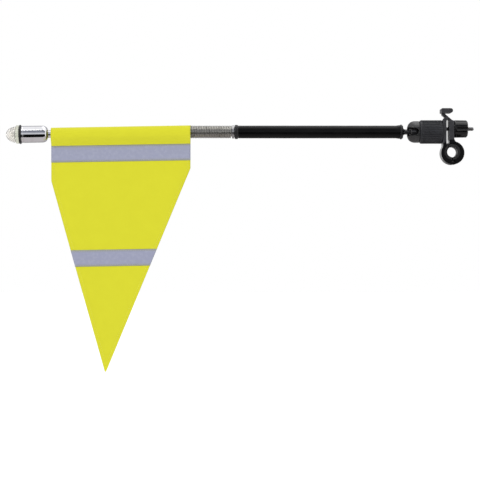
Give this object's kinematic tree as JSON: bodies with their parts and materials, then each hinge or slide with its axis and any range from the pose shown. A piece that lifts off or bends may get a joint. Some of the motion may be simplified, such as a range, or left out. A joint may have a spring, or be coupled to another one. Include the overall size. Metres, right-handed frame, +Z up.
{
  "type": "bicycle safety flag",
  "caption": "Clamp-on bicycle safety flag: hi-vis pennant with reflective bands on a sprung mast with a lamp tip, a ball joint and a hinged tube clamp.",
  "frame": {"origin": "centre of the hole that the clamp closes round a tube, on the tube's axis", "axes": "+Z up, +Y along the tube that the clamp holds, +X along the arm from the lamp to the clamp; the pennant hangs towards -Z"},
  "size_m": [0.4675, 0.0232, 0.2629],
  "materials": {
    "black_plastic": "moulded black, satin",
    "black_pvc": "black sleeve, satin",
    "rubber": "black rubber, matt",
    "steel": "bright steel",
    "polished_aluminium": "turned, polished",
    "chromed_metal": "turned, mirror polished",
    "brass": "bare",
    "clear_plastic": "clear, slightly milky",
    "circuit_board": "green laminate",
    "glass_fibre": "pultruded, pale",
    "hi_vis_fabric": "fluorescent yellow, matt",
    "reflective_tape": "silver-grey retroreflective"
  },
  "bodies": {
    "clamp": {"fixed_jaw": "black_plastic", "liner_fixed": "rubber", "hinge_pin": "steel", "clamp_bolt": "steel"},
    "jaw": {"hinged_jaw": "black_plastic", "liner_hinged": "rubber"},
    "washer": {"nut_washer": "steel"},
    "nut": {"thumb_nut": "black_plastic", "nut_insert": "brass"},
    "collar": {"lock_collar": "black_plastic"},
    "socket": {"ball_socket": "black_plastic"},
    "stud": {"ball_stud": "black_plastic"},
    "arm": {"arm_sleeve": "black_pvc", "arm_front_ring": "black_pvc", "arm_rear_cap": "black_plastic", "arm_rod": "glass_fibre", "stud_snap_ring": "steel", "spring_root_plug": "polished_aluminium"},
    "spring": {"coil_spring": "steel"},
    "mast": {"spring_tip_plug": "polished_aluminium", "mast_rod": "polished_aluminium", "lamp_body": "chromed_metal", "lamp_reflector": "chromed_metal", "lamp_led": "clear_plastic", "lamp_board": "circuit_board", "button_cell_1": "steel", "button_cell_2": "steel", "button_cell_3": "steel", "cell_spring": "steel"},
    "flag": {"pennant": "hi_vis_fabric", "band_upper_front": "reflective_tape", "band_upper_back": "reflective_tape", "band_lower_front": "reflective_tape", "band_lower_back": "reflective_tape"},
    "lens": {"lens": "clear_plastic", "lamp_o_ring": "rubber"}
  },
  "joints": [
    {"name": "nut_travel", "type": "slide", "parent": "clamp", "child": "washer", "axis": [1, 0, 0], "range_m": [0, 0.0048]},
    {"name": "nut_turn", "type": "hinge", "parent": "washer", "child": "nut", "pos_m": [0.009, 0, 0.0233], "axis": [1, 0, 0], "range_deg": [0, 2161]},
    {"name": "jaw_hinge", "type": "hinge", "parent": "clamp", "child": "jaw", "pos_m": [0.0004, 0, -0.0104], "axis": [0, 1, 0], "range_deg": [0, 7]},
    {"name": "collar_turn", "type": "hinge", "parent": "clamp", "child": "collar", "pos_m": [-0.021, 0, 0.0203], "axis": [1, 0, 0], "range_deg": [0, 180]},
    {"name": "socket_turn", "type": "hinge", "parent": "clamp", "child": "socket", "pos_m": [-0.0369, 0, 0.0203], "axis": [1, 0, 0], "continuous": true},
    {"name": "ball_fold", "type": "hinge", "parent": "socket", "child": "stud", "pos_m": [-0.0369, 0, 0.0203], "axis": [0, 0, 1], "range_deg": [-15, 90]},
    {"name": "arm_roll", "type": "hinge", "parent": "stud", "child": "arm", "pos_m": [-0.0575, 0, 0.0203], "axis": [1, 0, 0], "continuous": true},
    {"name": "spring_bend_up", "type": "hinge", "parent": "arm", "child": "spring", "pos_m": [-0.231, 0, 0.0203], "axis": [0, 1, 0], "range_deg": [-45, 45], "stiffness_Nm_per_rad": 2, "springref_deg": 1.51, "deforming": ["coil_spring"]},
    {"name": "spring_bend_side", "type": "hinge", "parent": "spring", "child": "mast", "pos_m": [-0.2495, 0, 0.0203], "axis": [0, 0, 1], "range_deg": [-45, 45], "stiffness_Nm_per_rad": 2},
    {"name": "pennant_swing", "type": "hinge", "parent": "mast", "child": "flag", "pos_m": [-0.33, 0, 0.01931], "axis": [0.9999, 0, 0.0148], "continuous": true},
    {"name": "lens_twist", "type": "hinge", "parent": "mast", "child": "lens", "pos_m": [-0.43398, 0, 0.01776], "axis": [0.9999, 0, 0.0148], "range_deg": [0, 90]}
  ],
  "couplings": [
    {"joint": "nut_turn", "follows": "nut_travel", "rad_per_m": 7854},
    {"joint": "jaw_hinge", "follows": "nut_travel", "rad_per_m": 25.317}
  ]
}
